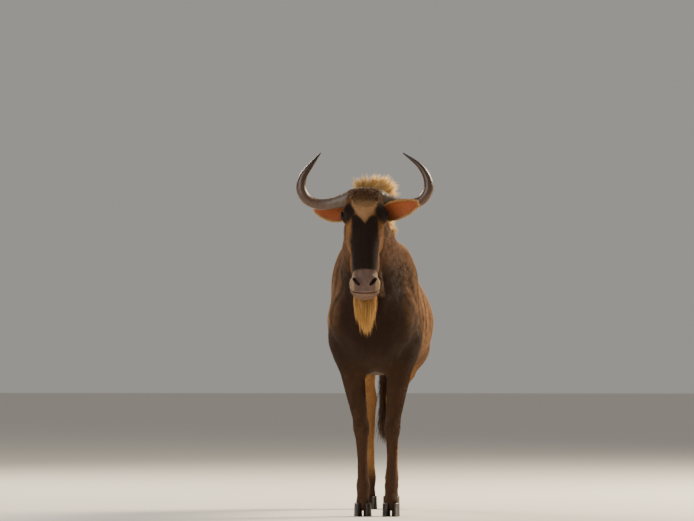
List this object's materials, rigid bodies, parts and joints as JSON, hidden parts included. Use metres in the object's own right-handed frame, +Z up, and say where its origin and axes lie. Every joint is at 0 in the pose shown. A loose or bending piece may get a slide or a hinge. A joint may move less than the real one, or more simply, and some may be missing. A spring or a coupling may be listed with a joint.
{
  "type": "wildebeest",
  "caption": "Life-size standing wildebeest with its head up and facing forward, curved horns, a pale mane and a pale beard, on four cloven hooves.",
  "frame": {"origin": "middle of the standing box, on the floor under the soles", "axes": "+Z up, -Y towards the head, +X towards the animal's left side"},
  "size_m": [0.6207, 1.8682, 1.6594],
  "materials": {
    "coat": "matte",
    "ear": "matte",
    "eye": "gloss",
    "horn": "satin",
    "hoof": "satin"
  },
  "bodies": {
    "root": {"torso": "coat", "neck": "coat", "head": "coat", "ear_left": "ear", "ear_right": "ear", "eye_left": "eye", "eye_right": "eye", "horn_left": "horn", "horn_right": "horn", "leg_front_left": "coat", "leg_front_right": "coat", "leg_hind_left": "coat", "leg_hind_right": "coat", "hoof_front_left_left_toe": "hoof", "hoof_front_left_right_toe": "hoof", "hoof_front_right_left_toe": "hoof", "hoof_front_right_right_toe": "hoof", "hoof_hind_left_left_toe": "hoof", "hoof_hind_left_right_toe": "hoof", "hoof_hind_right_left_toe": "hoof", "hoof_hind_right_right_toe": "hoof", "tail": "coat"}
  },
  "joints": []
}
